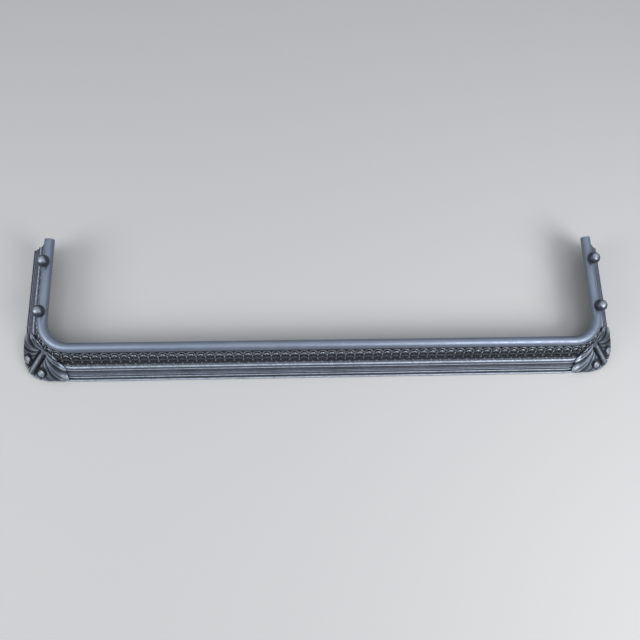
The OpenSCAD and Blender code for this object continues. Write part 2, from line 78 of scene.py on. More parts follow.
MM = 0.001
RAIL_LOW, RAIL_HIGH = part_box("top_rail")
FRET_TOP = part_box("front_fret")[1].z


# ---- Sizes and colours ----
class FenderSizes(bpy.types.PropertyGroup):
    """Sizes of the fender's castings that its relief and ornament are drawn from."""

    rail_width: FloatProperty(
        name="Rail width", description="Width of the half-round rail", default=19 * MM, unit="LENGTH")
    corner_radius: FloatProperty(
        name="Corner radius", description="Bend radius of the rail's centreline", default=55 * MM,
        unit="LENGTH")
    splay: FloatProperty(
        name="Splay", description="How far the foot stands out from the rail's centreline", default=55 * MM,
        unit="LENGTH")
    ledge_out: FloatProperty(
        name="Ledge", description="How far the ledge under the fret stands out", default=30 * MM,
        unit="LENGTH")
    kerb_height: FloatProperty(
        name="Kerb height", description="Height of the ledge that carries the fret", default=34 * MM,
        unit="LENGTH")
    head_out: FloatProperty(
        name="Fret head", description="How far the fret's head stands out from the rail's centreline",
        default=8 * MM, unit="LENGTH")
    front_bays: IntProperty(name="Front bays", description="Bays of the arcade along the front", default=54)
    return_bays: IntProperty(name="Return bays", description="Bays along each return", default=9)
    corner_bays: IntProperty(name="Corner bays", description="Bays round each corner", default=6)
    rim_width: FloatProperty(
        name="Rim width", description="Width of the arches' rims", default=2.2 * MM, unit="LENGTH")
    crown_drop: FloatProperty(
        name="Crown", description="Drop from the fret's head to the top of the arches' rims",
        default=3.2 * MM, unit="LENGTH")
    pillar: FloatProperty(
        name="Pillar", description="Length of the pillars under the arches", default=7 * MM, unit="LENGTH")
    low_gap: FloatProperty(
        name="Sill", description="From the sill to the crown of the low arch", default=2.2 * MM,
        unit="LENGTH")
    low_rise: FloatProperty(
        name="Low rise", description="Rise of the low arches", default=6.5 * MM, unit="LENGTH")
    ball_radius: FloatProperty(
        name="Ball", description="Radius of each ball knob", default=12.5 * MM, unit="LENGTH")
    band_radius: FloatProperty(
        name="Band", description="Radius of the broad band under the fret", default=4.5 * MM, unit="LENGTH")
    fillet_radius: FloatProperty(
        name="Fillet", description="Radius of the thin fillet on the ledge", default=1.5 * MM, unit="LENGTH")
    torus_radius: FloatProperty(
        name="Torus", description="Radius of the round moulding on the foot", default=2.5 * MM, unit="LENGTH")
    wall: FloatProperty(
        name="Wall", description="Wall of the kerb casting", default=5 * MM, unit="LENGTH")
    stud_radius: FloatProperty(
        name="Studs", description="Radius of the studs cast into each acanthus", default=3 * MM,
        unit="LENGTH")
    plinth_height: FloatProperty(
        name="Plinth", description="Height of the plain upright edge at the foot", default=8 * MM,
        unit="LENGTH")
    leaf_proud: FloatProperty(
        name="Leaf", description="How far the acanthus stands proud at the foot of the corner",
        default=20 * MM, unit="LENGTH")


class FenderColours(bpy.types.PropertyGroup):
    """Colours of the fender's iron and steel, and of the floor."""

    kerb: FloatVectorProperty(
        name="Kerb", description="Black-leaded iron of the kerb",
        default=(0.073, 0.085, 0.109), subtype="COLOR", min=0, max=1)
    # This colour serves both worn edges and the painted highlights on crests
    crest: FloatVectorProperty(
        name="Crests", description="Iron worn bright on edges and crests",
        default=(0.54, 0.59, 0.675), subtype="COLOR", min=0, max=1)
    # Near black and much darker than the kerb's iron: painted shade over the fret
    fret: FloatVectorProperty(
        name="Fret", description="Dull iron of the fret",
        default=(0.022, 0.024, 0.030), subtype="COLOR", min=0, max=1)
    # Far lighter than the fret's iron: a painted highlight on the raised work, with some rubbed wear
    ribs: FloatVectorProperty(
        name="Ribs", description="Rubbed iron of the fret's raised work",
        default=(0.30, 0.33, 0.385), subtype="COLOR", min=0, max=1)
    rail: FloatVectorProperty(
        name="Rail", description="Burnished iron of the rail",
        default=(0.172, 0.20, 0.25), subtype="COLOR", min=0, max=1)
    knob: FloatVectorProperty(
        name="Knobs", description="Polished black of the ball knobs",
        default=(0.035, 0.04, 0.055), subtype="COLOR", min=0, max=1)
    # Lies in the recesses both as soot and as painted shade there
    grime_and_shade: FloatVectorProperty(
        name="Soot", description="Soot that lies in the recesses",
        default=(0.014, 0.014, 0.016), subtype="COLOR", min=0, max=1)
    steel: FloatVectorProperty(
        name="Fasteners", description="Screws, studs, bolts and nuts",
        default=(0.20, 0.18, 0.165), subtype="COLOR", min=0, max=1)
    worn_steel: FloatVectorProperty(
        name="Worn fasteners", description="Edges of the fasteners, worn bright",
        default=(0.35, 0.33, 0.31), subtype="COLOR", min=0, max=1)
    rust: FloatVectorProperty(
        name="Rust", description="Rust in the hollows of the fasteners",
        default=(0.16, 0.08, 0.045), subtype="COLOR", min=0, max=1)
    floor: FloatVectorProperty(
        name="Floor", description="Plain pale floor",
        default=(0.45, 0.437, 0.415), subtype="COLOR", min=0, max=1)


def sizes():
    """The fender's sizes, as they stand in the sidebar."""
    return bpy.context.scene.fender_sizes


def colours():
    """The fender's colours, as they stand in the sidebar."""
    return bpy.context.scene.fender_colours


# ---- Places ----
# Place of the acanthus's tip down the fret, as a share of the slope, and how far its line goes on above it
LEAF_TIP, LEAF_LEAD = 0.56, 15 * MM
# How far the acanthus's back stands clear of the castings behind it, and of the torus
LEAF_GAP, TORUS_GAP = 0.3 * MM, 2.4 * MM
# How far the band stands out of the fall, and how far the kerb's inner face is set back at the plinth and
# forward behind the band
BAND_PROUD, HIP_BACK, BAND_FORWARD = 3 * MM, 1.2 * MM, 2 * MM
# Share of the acanthus's drop where its height turns level, and the power of the soft minimum at its rim
LEVEL_FROM, SOFTNESS = 0.8, 4


def heading(start, end):
    """The direction from one place on a section to another, and the one square to it, which is outwards where
    the first is down."""
    along = (end - start) / np.linalg.norm(end - start)
    return along, np.array([-along[1], along[0]])


class Plan:
    """The rail's centreline in plan and the fret's slope in section, from the frame and the sizes."""

    def __init__(self):
        size = sizes()
        self.rail_x = RAIL_HIGH.x - size.rail_width / 2
        self.rail_y = RAIL_LOW.y + size.rail_width / 2
        self.back_y = RAIL_HIGH.y
        self.corner_r = size.corner_radius
        self.corner_x = self.rail_x - self.corner_r
        self.corner_y = self.rail_y + self.corner_r
        self.kerb_edge = self.corner_r + size.splay
        ledge = np.array([size.ledge_out, size.kerb_height])
        self.head = np.array([size.head_out, FRET_TOP])
        self.slope_len = np.linalg.norm(ledge - self.head)
        self.down, self.out = heading(self.head, ledge)
        self.leaf_route(ledge)

    def leaf_route(self, ledge):
        """Section of the acanthus's back: down the fret, over the band and the torus, and down the plinth's
        face. Drops are lengths along it in mm, 0 at the leaf's tip. Its studs sit square to the kerb's inner
        face."""
        size = sizes()
        plinth = np.array([size.splay, size.plinth_height])
        fall, fall_out = heading(ledge, plinth)
        band = (ledge + fall * (size.fillet_radius + size.band_radius)
                - fall_out * (size.band_radius - BAND_PROUD))
        torus = plinth + [-size.torus_radius, size.torus_radius]
        over_torus = size.torus_radius + TORUS_GAP
        tip = LEAF_TIP * self.slope_len
        self.route = np.array([
            self.section(tip - LEAF_LEAD, LEAF_GAP), self.section(tip, LEAF_GAP),
            band + (size.band_radius + LEAF_GAP) * fall_out, torus + over_torus * fall_out,
            torus + [over_torus, 0], [size.splay + LEAF_GAP, 1 * MM]])
        steps = np.linalg.norm(np.diff(self.route, axis=0), axis=1) / MM
        self.drops = np.concatenate([[0], np.cumsum(steps)]) - steps[0]
        self.leaf_drop = self.drops[-1]
        hip = plinth - fall_out * size.wall - [HIP_BACK, 0]
        under_band = band - fall_out * (size.wall + size.band_radius - BAND_FORWARD)
        self.stud_seat = (hip + under_band) / 2
        self.stud_out = heading(under_band, hip)[1]

    def on_leaf(self, x, s, h):
        """Point of the right acanthus, in metres, from mm: x along the arc from the diagonal, s down its back
        from the tip and h out of it. h leans with the fret at the tip and lies level from four fifths of the
        drop on. A soft minimum keeps the leaf within the kerb's own footprint."""
        d, z = np.interp(s, self.drops, self.route[:, 0]), np.interp(s, self.drops, self.route[:, 1])
        fret_lean = math.atan2(self.out[1], self.out[0])
        lean = fret_lean * (1 - np.clip(s / self.leaf_drop / LEVEL_FROM, 0, 1))
        base = self.corner_r + d
        turn = x * MM / base
        off_square = math.pi / 4 - np.minimum(abs(turn), math.pi / 4)
        room = np.maximum(self.kerb_edge / np.cos(off_square) - base, 0.01 * MM)
        out = h * MM * np.cos(lean)
        soft = out / (1 + (np.maximum(out, 0) / room) ** SOFTNESS) ** (1 / SOFTNESS)
        out = np.where(out > 0, soft, out)
        turn = turn - math.pi / 4
        return np.stack([self.corner_x + (base + out) * np.cos(turn),
                         self.corner_y + (base + out) * np.sin(turn), z + h * MM * np.sin(lean)], -1)

    def section(self, v, n):
        """d and z of a place v down the slope and n out of the fret's face."""
        return (self.head[0] + v * self.down[0] + n * self.out[0],
                self.head[1] + v * self.down[1] + n * self.out[1])

    def front(self, u, d, z):
        """Along the front: u is X, and d runs towards -Y."""
        return np.stack(np.broadcast_arrays(u, self.rail_y - d, z), -1)

    def side(self, u, d, z):
        """Along the right return: u is Y, and d runs towards +X."""
        return np.stack(np.broadcast_arrays(self.rail_x + d, u, z), -1)

    def corner(self, angle, across, d, z):
        """Round the right corner: across is square to the radius at an angle, so it turns by its arcsine."""
        r = self.corner_r + d
        turn = angle + np.arcsin(np.clip(across / r, -1, 1))
        return np.stack(np.broadcast_arrays(
            self.corner_x + r * np.cos(turn), self.corner_y + r * np.sin(turn), z), -1)


# ---- Meshes ----
# Points this near are one point, and edges this short are none, in metres
MERGE, TOO_SHORT = 2e-6, 1e-6
# How far the base of raised work lies below the face that carries it
SINK = 0.3 * MM


def grid_faces(rows, cols, close_cols=False):
    """Point numbers of a grid's quads: each joins a point with the next in its row, its column and both."""
    r, c = np.meshgrid(np.arange(rows - 1), np.arange(cols if close_cols else cols - 1), indexing="ij")
    r2, c2 = r + 1, (c + 1) % cols
    return np.stack([r * cols + c, r2 * cols + c, r2 * cols + c2, r * cols + c2], -1).reshape(-1, 4)


def repeated(points, faces, crest):
    """Many copies of one grid as a patch: points is (copies, rows, cols, 3), faces and crest one copy's."""
    copies, per_copy = points.shape[0], points[0].size // 3
    shift = np.arange(copies)[:, None, None] * per_copy
    return points.reshape(-1, 3), (faces[None] + shift).reshape(-1, 4), np.tile(crest.ravel(), copies)


def mirrored(patches):
    """The same patches on the other side of the fender, with X turned round."""
    return [(points * [-1, 1, 1], faces[:, ::-1], crest) for points, faces, crest in patches]


def make_piece(name, patches, finish, sharp=35, replaces=()):
    """One piece from patches of points, quads and crests, where a crest runs from 0 in a hollow painted into
    shade, through 0.5 on plain iron, to 1 on a worn ridge with a painted highlight. Points that fall together
    are merged, so poles and seams close, and faces are turned outwards."""
    points = np.concatenate([p.reshape(-1, 3) for p, _, _ in patches])
    starts = np.cumsum([0] + [p.size // 3 for p, _, _ in patches[:-1]])
    faces = np.concatenate([f + s for (_, f, _), s in zip(patches, starts)])
    mesh = bpy.data.meshes.new(name)
    mesh.vertices.add(len(points))
    mesh.vertices.foreach_set("co", points.astype(np.float32).ravel())
    crests = np.concatenate([c.ravel() for _, _, c in patches])
    mesh.attributes.new("crest", "FLOAT", "POINT").data.foreach_set("value", crests.astype(np.float32))
    mesh.loops.add(faces.size)
    mesh.loops.foreach_set("vertex_index", faces.astype(np.int32).ravel())
    mesh.polygons.add(len(faces))
    mesh.polygons.foreach_set("loop_start", np.arange(0, faces.size, 4, dtype=np.int32))
    mesh.update(calc_edges=True)
    work = bmesh.new()
    work.from_mesh(mesh)
    bmesh.ops.remove_doubles(work, verts=work.verts, dist=MERGE)
    bmesh.ops.dissolve_degenerate(work, edges=work.edges, dist=TOO_SHORT)
    bmesh.ops.recalc_face_normals(work, faces=work.faces)
    work.to_mesh(mesh)
    work.free()
    mesh.polygons.foreach_set("use_smooth", np.ones(len(mesh.polygons), bool))
    mesh.set_sharp_from_angle(angle=math.radians(sharp))
    piece = bpy.data.objects.new(name, mesh)
    bpy.context.scene.collection.objects.link(piece)
    mesh.materials.append(finish)
    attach(piece, "root")
    if replaces:
        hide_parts(*replaces)


def bead(path, half_width, height, sides=5):
    """u, v, n of a half-round bead along a path of (u, v) points. Its section is half an ellipse over a flat
    base that lies a little below the face, and it narrows to a point at both ends."""
    run = np.gradient(path, axis=0)
    run /= np.linalg.norm(run, axis=1, keepdims=True)
    side = np.stack([-run[:, 1], run[:, 0]], -1)
    turn = np.linspace(0, math.pi, sides)
    across = np.concatenate([np.cos(turn), [-1, 1]]) * half_width
    proud = np.concatenate([np.sin(turn) * height, [-SINK, -SINK]])
    ends = np.ones((len(path), 1))
    ends[[0, -1]] = 0
    u = path[:, :1] + side[:, :1] * across * ends
    v = path[:, 1:] + side[:, 1:] * across * ends
    n = proud * ends - SINK * (1 - ends)
    return u, v, n, grid_faces(*n.shape, close_cols=True)


def boss(u0, v0, radius, height, sides=10, rings=4):
    """u, v, n of a round boss: a quarter ellipse turned about its axis, on a base a little below the face."""
    lift = np.linspace(0, math.pi / 2, rings)
    r = np.concatenate([[0, radius], radius * np.cos(lift)])[:, None]
    n = np.concatenate([[-SINK, -SINK], height * np.sin(lift)])[:, None]
    turn = np.linspace(0, 2 * math.pi, sides, endpoint=False)
    u, v = u0 + r * np.cos(turn), v0 + r * np.sin(turn)
    return u, v, n + 0 * u, grid_faces(*u.shape, close_cols=True)


def arc(u0, v0, radius, start, end, count):
    """Points along an arc in the fret's face, by angles from the crown, positive to the right."""
    a = np.radians(np.linspace(start, end, count))
    return np.stack([u0 + radius * np.sin(a), v0 - radius * np.cos(a)], -1)


def upright(*places):
    """Points straight down the fret's face, at places below its head."""
    return np.array([[0, v] for v in places])


# ---- Fret relief ----
# Raised work that stands this far out of the fret's face gets the full painted highlight, on iron also rubbed
# there; at half this height it gets none, and lower work and its base are painted into shade
BRIGHT_HEIGHT = 1.6 * MM
# Half width and height of each bead
ARCH_BEAD = (1.05 * MM, 1.25 * MM)
STEM_BEAD = (0.6 * MM, 0.5 * MM)
LOW_ARCH_BEAD = (0.7 * MM, 0.5 * MM)
HEM_BEAD = (1.3 * MM, 1.6 * MM)
PILLAR_BEAD = (1.0 * MM, 1.0 * MM)
# Radius and height of each boss
CROWN_BOSS = (1.0 * MM, 0.9 * MM)
FOOT_BOSS = (1.5 * MM, 1.7 * MM)
PILLAR_BOSS = (1.7 * MM, 2.0 * MM)
SPRING_BOSS = (1.4 * MM, 1.5 * MM)


def bay_relief(bay, low_bay, slope_len):
    """The raised work of one bay: round arch, crescent and its stem, low arch and the boss on its crown, a
    boss at the foot and two scallops of the hem. With it, the work on the line between two bays: a pillar and
    its two bosses."""
    size = sizes()
    spring = size.crown_drop + size.rim_width / 2 + bay / 2
    sill = spring + size.pillar
    low_r = (low_bay ** 2 / 4 + size.low_rise ** 2) / 2 / size.low_rise
    low_crown = sill + size.low_gap
    low_reach = math.degrees(math.asin(min(1, low_bay / 2 / low_r)))
    waist = spring + 3 * MM
    hem, hem_r, hem_reach = slope_len - 3.8 * MM, bay / 4 * 0.92, 78
    middle = [
        bead(arc(0, spring, bay / 2, -90, 90, 15), *ARCH_BEAD),
        bead(upright(spring + 0.5 * MM, waist, sill + 1 * MM), *STEM_BEAD),
        crescent(spring),
        bead(arc(0, low_crown + low_r, low_r, -low_reach, low_reach, 11), *LOW_ARCH_BEAD),
        boss(0, low_crown - 0.2 * MM, *CROWN_BOSS, sides=8),
        boss(0, slope_len - 6.3 * MM, *FOOT_BOSS),
    ]
    for side in (-1, 1):
        scallop = arc(side * bay / 4, hem, hem_r, 180 - hem_reach, 180 + hem_reach, 9)
        middle.append(bead(scallop, *HEM_BEAD))
    edge = [
        bead(upright(spring - 1 * MM, waist, sill, slope_len - 5 * MM), *PILLAR_BEAD),
        boss(0, waist, *PILLAR_BOSS),
        boss(0, low_crown + size.low_rise, *SPRING_BOSS, sides=8),
    ]
    return middle, edge


def crescent(spring):
    """u, v, n of the raised crescent under an arch: it lies between two circles and is round from one to the
    other."""
    outer, outer_r, inner, inner_r = spring + 1.6 * MM, 5.6 * MM, spring + 4.0 * MM, 4.9 * MM
    height, rows = 1.5 * MM, 13
    gap = inner - outer
    cross = (outer_r ** 2 - inner_r ** 2 + gap ** 2) / 2 / gap
    horn_outer = math.degrees(math.acos(-cross / outer_r))
    horn_inner = math.degrees(math.acos((gap - cross) / inner_r))
    edge = arc(0, outer, outer_r, -horn_outer, horn_outer, rows)[:, None]
    hollow = arc(0, inner, inner_r, -horn_inner, horn_inner, rows)[:, None]
    share = (1 - np.cos(np.linspace(0, math.pi, 6))) / 2
    between = edge + (hollow - edge) * share[None, :, None]
    lift = height * np.sqrt(np.clip(4 * share * (1 - share), 0, 1)) * np.ones((rows, 1))
    n = np.concatenate([lift, np.full((rows, 2), -SINK)], axis=1)
    n[[0, -1]] = -SINK
    ring = np.concatenate([between, hollow, edge], axis=1)
    return ring[..., 0], ring[..., 1], n, grid_faces(*n.shape, close_cols=True)


def relief_patches(relief, start, step, bays, edges, place):
    """One set of patches for a run of bays from a start: place turns a centre, u, v and n into points, and
    edges are the numbers of the lines between bays that carry a pillar."""
    middles = start + (np.arange(bays) + 0.5) * step
    lines = start + np.array(edges) * step
    patches = []
    for parts, centres in zip(relief, (middles, lines)):
        for u, v, n, faces in parts:
            points = place(centres[:, None, None], u[None], v[None], n[None])
            # Crest by height: painted highlight on high work, painted shade at its base
            patches.append(repeated(points, faces, np.clip(n / BRIGHT_HEIGHT, 0, 1)))
    return patches


class FENDER_OT_fret_relief(bpy.types.Operator):
    """Raises the arches, crescents, bosses and hem on the pierced frets"""

    bl_idname = "fender.fret_relief"
    bl_label = "Fret relief"

    def execute(self, context):
        plan, size, finish = Plan(), sizes(), rib_finish()
        front_bay = 2 * plan.corner_x / size.front_bays
        side_bay = (plan.back_y - plan.corner_y) / size.return_bays
        step = math.pi / 2 / size.corner_bays
        spring = size.crown_drop + size.rim_width / 2 + front_bay / 2
        low_spring = spring + size.pillar + size.low_gap + size.low_rise
        corner_bay, corner_low = [
            (plan.corner_r + plan.section(v, 0)[0]) * step for v in (spring, low_spring)]

        def on_front(centre, u, v, n):
            return plan.front(centre + u, *plan.section(v, n))

        def on_side(centre, u, v, n):
            return plan.side(np.minimum(centre + u, plan.back_y), *plan.section(v, n))

        def on_corner(centre, u, v, n):
            return plan.corner(centre, u, *plan.section(v, n))

        front = relief_patches(bay_relief(front_bay, front_bay, plan.slope_len), -plan.corner_x, front_bay,
                               size.front_bays, range(size.front_bays + 1), on_front)
        side = relief_patches(bay_relief(side_bay, side_bay, plan.slope_len), plan.corner_y, side_bay,
                              size.return_bays, range(size.return_bays), on_side)
        corner = relief_patches(bay_relief(corner_bay, corner_low, plan.slope_len), -math.pi / 2, step,
                                size.corner_bays, range(1, size.corner_bays), on_corner)
        make_piece("front_fret_relief", front, finish)
        make_piece("right_return_fret_relief", side, finish)
        make_piece("left_return_fret_relief", mirrored(side), finish)
        make_piece("right_corner_fret_relief", corner, finish)
        make_piece("left_corner_fret_relief", mirrored(corner), finish)
        return {"FINISHED"}


# ---- Acanthus ----
# Bearings of the hollows between the fronds, in degrees from straight down the leaf
HOLLOWS = (9, 24, 38, 50, 62, 76, 100)
# Reach of the leaf in mm, by bearing, and the share of it that its lobed rim gives up between two fronds
REACH = ((0, 61.5), (9, 61.5), (24, 66), (38, 77), (47, 88), (56, 86), (65, 64), (72, 50), (80, 32), (90, 19),
         (100, 9))
LOBE_DEPTH = 0.2
# How far the middle of the leaf stands proud down its length, as shares of its drop and of the whole
SWELL = ((0, 0.12), (0.2, 0.3), (0.4, 0.5), (0.6, 0.72), (0.8, 0.93), (0.9, 1), (1, 0.95))
# Half width of the leaf's dome in mm, by s
HALF_WIDTH = ((0, 10), (8, 26), (20, 47), (35, 62), (50, 72), (62, 68))
# Thickness of the leaf at the rim of its dome, and the least that the carving leaves, in mm
THICK, THIN = 1.5, 0.7
# Degrees by which a frond leaves the tip nearer to straight down than it ends
SWEEP = 22
# Height of the fronds' ridges in mm, the share of it that meets the dome, and the lift of the fronds' ends
RIDGE, LEVEL, RIM = 4.4, 0.78, 1.4
# Depths in mm of each frond's channel, the pits between fronds, the strap's slots and the eyes' rings
CHANNEL, PIT, SLOT, RING = 2.0, 3, 8, 3.6
# Half width of the strap in mm, its start and end on the crest, the radius of its roll, and its width by row
STRAP_HALF, STRAP_START, STRAP_END, STRAP_ROLL = 4.4, 1.5, 50, 4.2
STRAP_WIDTH = ((0, 0), (8, 0.75), (39, 1), (47, 1.25), (54, 0.9))
# Place and radius of each curled eye in mm, and the radius and lift of the boss in its middle
EYE_X, EYE_S, EYE_R = 17.5, 40, 6.8
EYE_BOSS, EYE_LIFT = 2.6, 3.6
# Bearings of the studs in degrees from the diagonal, and their reach in mm inwards and outwards of their seat
STUD_BEARINGS, STUD_IN, STUD_OUT = (-14, 14), 8, 12


def hump(x, width):
    """A bell curve of height 1 at 0."""
    return np.exp(-(x / width) ** 2)


def ease(x, low, high):
    """0 up to low, 1 from high on, with a smooth step between."""
    t = np.clip((x - low) / (high - low), 0, 1)
    return t * t * (3 - 2 * t)


def table(x, pairs):
    """Value at x of the line through pairs of places and values."""
    return np.interp(x, *zip(*pairs))


def leaf_crest(plan, s):
    """How far the leaf's middle stands proud of its back, in mm, s mm down it."""
    return sizes().leaf_proud / MM * table(s / plan.leaf_drop, SWELL)


def leaf_dome(plan, x, s):
    """The leaf's height over its rim before it is carved: the crest's, times, across the leaf,
    (1 - |x / half width| ^ 1.7) ^ 0.8."""
    across = np.clip(abs(x) / table(s, HALF_WIDTH), 0, 1)
    return (leaf_crest(plan, s) - THICK) * (1 - across ** 1.7) ** 0.8


def leaf_columns():
    """Bearings of the leaf's columns in degrees, spaced evenly from each hollow to the next."""
    spans = [np.linspace(a, b, 17 if a else 15, endpoint=False) for a, b in zip((0, *HOLLOWS[:-1]), HOLLOWS)]
    right = np.concatenate([*spans, HOLLOWS[-1:]])
    return np.concatenate([-right[:0:-1], right])


def leaf_surface(plan):
    """Acanthus leaf as a fan of fronds. q runs from 0 at the tip to 1 at the rim, and each column has a
    bearing, so x = reach q sin(bearing) and s = reach q cos(bearing). The height is a dome across the leaf,
    plus for each frond a round ridge with a channelled middle that grows towards its tip, less pits between
    the fronds, a deep slot on both sides of the strap and a ring round each curled eye. The underside follows
    the back, so the leaf is closed."""
    cols = leaf_columns()
    size = abs(cols)
    frond = np.searchsorted(HOLLOWS, size, side="right")
    edges = np.array((0, *HOLLOWS, HOLLOWS[-1] + 1))
    low, high, in_frond = edges[frond], edges[frond + 1], frond > 0
    place = np.clip((size - low) / (high - low), 0, 1)
    lobe = np.where(in_frond, (4 * place * (1 - place)) ** 0.45, 1)
    reach = table(size, REACH) * (1 - LOBE_DEPTH * (1 - lobe))
    sweep = SWEEP * np.sin(np.radians(np.minimum(size * 2.2, 180)))

    def spread(q):
        bearing = np.radians(cols - np.sign(cols) * sweep * (1 - q) ** 1.3)
        return reach * q * np.sin(bearing), reach * q * np.cos(bearing)

    q = np.linspace(0, 1, 72)[:, None]
    x, s = spread(q)
    ridge = np.where(in_frond, np.sin(math.pi * place) ** 0.85, 0.8)
    channel = np.where(in_frond, hump(place - 0.5, 0.1), 0) * ease(q, 0.2, 0.6)
    to_hollow = np.radians(np.minimum(abs(size - low), abs(high - size))) * reach * q
    pits = np.where(in_frond, hump(to_hollow, 1.5) * hump((q - 0.6) * reach, 2.2), 0)
    slots = hump(abs(x) - STRAP_HALF - 2.4, 2.0) * ease(s, 5, 12) * (1 - ease(s, 46, 54))
    rings = hump(np.hypot(abs(x) - EYE_X, s - EYE_S) - EYE_R - 1.4, 1.6)
    carved = (ease(q, 0.04, 0.45) * (RIDGE * (ridge - LEVEL) - CHANNEL * channel) + RIM * ease(q, 0.72, 0.9)
              - PIT * pits - SLOT * slots - RING * rings)
    # Painted highlight on the ridges and rim, painted shade in the channels, pits, slots and rings
    crest = np.clip(0.5 + (carved + 0.1) / 2.4, 0, 1)
    height = np.maximum(THICK + leaf_dome(plan, x, s) + carved, THIN)
    height = height * ease(q, 0, 0.06) * ease(1 - size / HOLLOWS[-1], 0, 0.05)
    height = height * (1 - 0.45 * ease(q, 0.955, 1) ** 2)
    back_x, back_s = spread(np.linspace(1, 0, 14)[:, None])
    x, s = np.concatenate([x, back_x]), np.concatenate([s, back_s])
    height, crest = np.concatenate([height, 0 * back_x]), np.concatenate([crest, 0 * back_x])
    return plan.on_leaf(x, s, height), grid_faces(*x.shape), crest


def leaf_strap(plan):
    """Strap down the middle of the leaf. It lies on the crest and rolls under at its end, so its path in
    (s, h) is the crest's line and then an arc. Its section is a low arch with a vein, and it narrows to
    nothing at both ends."""
    lift, arch, vein, under = 1.2, 1.5, 0.9, -2.2
    s = np.linspace(STRAP_START, STRAP_END, 40)
    h = leaf_crest(plan, s) + lift * ease(s, 2, 14)
    turn = np.linspace(0, math.radians(250), 16)[1:]
    s_path = np.concatenate([s, s[-1] + STRAP_ROLL * np.sin(turn)])
    h_path = np.concatenate([h, h[-1] - STRAP_ROLL + STRAP_ROLL * np.cos(turn)])
    run = np.gradient(np.stack([s_path, h_path]), axis=1)
    run /= np.linalg.norm(run, axis=0)
    half = STRAP_HALF * table(np.arange(len(s_path)), STRAP_WIDTH)[:, None]
    half[[0, -1]] = 0
    across = np.concatenate([np.linspace(-1, 1, 13), [0.9, -0.9]])
    top = arch * np.sqrt(np.clip(1 - 0.85 * across ** 2, 0, 1)) + vein * hump(across, 0.2)
    top[-2:] = under
    proud = top * (half > 0)
    s_all = s_path[:, None] - run[1][:, None] * proud
    h_all = h_path[:, None] + run[0][:, None] * proud
    # Painted highlight on the strap's arch and vein, and painted shade under its roll
    crest = np.clip(proud / 2.1, 0, 1)
    return plan.on_leaf(half * across, s_all, h_all), grid_faces(*s_all.shape, close_cols=True), crest


def leaf_scroll(plan, side):
    """Curled eye beside the strap, in the leaf's own (x, s, h): a round tube on a spiral that climbs to a
    boss. Its radius is 0.92 EYE_R (1 - share) ^ 0.85, where share runs from 0 at its foot to 1 at its top."""
    turns, start, foot, climb = 2.1, math.radians(200), 1.8, 3.2
    share = np.linspace(0, 1, 64)
    angle = 2 * math.pi * turns * share + start
    radius = EYE_R * (1 - share) ** 0.85 * 0.92
    tube = (2.3 - 0.6 * share) * np.minimum(1, 12 * share + 0.05) * np.minimum(1, 10 * (1 - share))
    tube[[0, -1]] = 0
    path = np.stack([side * (EYE_X + radius * np.cos(angle)), EYE_S + radius * np.sin(angle),
                     leaf_dome(plan, EYE_X, EYE_S) + foot + climb * share], -1)
    run = np.gradient(path, axis=0)
    run /= np.linalg.norm(run, axis=1, keepdims=True)
    beside = np.cross(run, [0, 0, 1])
    beside /= np.linalg.norm(beside, axis=1, keepdims=True)
    above = np.cross(beside, run)
    a = np.linspace(0, 2 * math.pi, 12, endpoint=False)
    ring = (path[:, None] + tube[:, None, None]
            * (beside[:, None] * np.cos(a)[:, None] + above[:, None] * np.sin(a)[:, None]))
    # Painted highlight on the top of the tube and painted shade under it
    crest = 0.5 + 0.5 * np.sin(a) + 0 * share[:, None]
    return plan.on_leaf(*np.moveaxis(ring, -1, 0)), grid_faces(*crest.shape, close_cols=True), crest


def leaf_boss(plan, x0, s0, h0, radius):
    """Round boss on the leaf: a ball flattened to two thirds of its height."""
    rise = np.linspace(-math.pi / 2, math.pi / 2, 10)[:, None]
    a = np.linspace(0, 2 * math.pi, 16, endpoint=False)
    x = x0 + radius * np.cos(rise) * np.cos(a)
    s = s0 + radius * np.cos(rise) * np.sin(a)
    h = h0 + 0.67 * radius * np.sin(rise) + 0 * a
    # Painted highlight on the boss's top and painted shade under it
    return plan.on_leaf(x, s, h), grid_faces(*h.shape, close_cols=True), 0.5 + 0.5 * np.sin(rise) + 0 * a


def leaf_stud(plan, bearing):
    """Stud cast into the leaf's back: a round bar, square to the kerb's inner face, with closed ends."""
    chamfer = 0.4
    along = np.array([-STUD_IN, -STUD_IN, chamfer - STUD_IN, STUD_OUT, STUD_OUT])[:, None] * MM
    radius = np.array([0, 0.85, 1, 1, 0])[:, None] * sizes().stud_radius
    a = np.linspace(0, 2 * math.pi, 24, endpoint=False)
    out, up = plan.stud_out
    d = plan.stud_seat[0] + along * out - radius * np.cos(a) * up
    z = plan.stud_seat[1] + along * up + radius * np.cos(a) * out
    angle = math.radians(bearing) - math.pi / 4
    r, across = plan.corner_r + d, radius * np.sin(a)
    points = np.stack([plan.corner_x + r * math.cos(angle) - across * math.sin(angle),
                       plan.corner_y + r * math.sin(angle) + across * math.cos(angle), z], -1)
    return points, grid_faces(*r.shape, close_cols=True), 0.5 + 0 * r


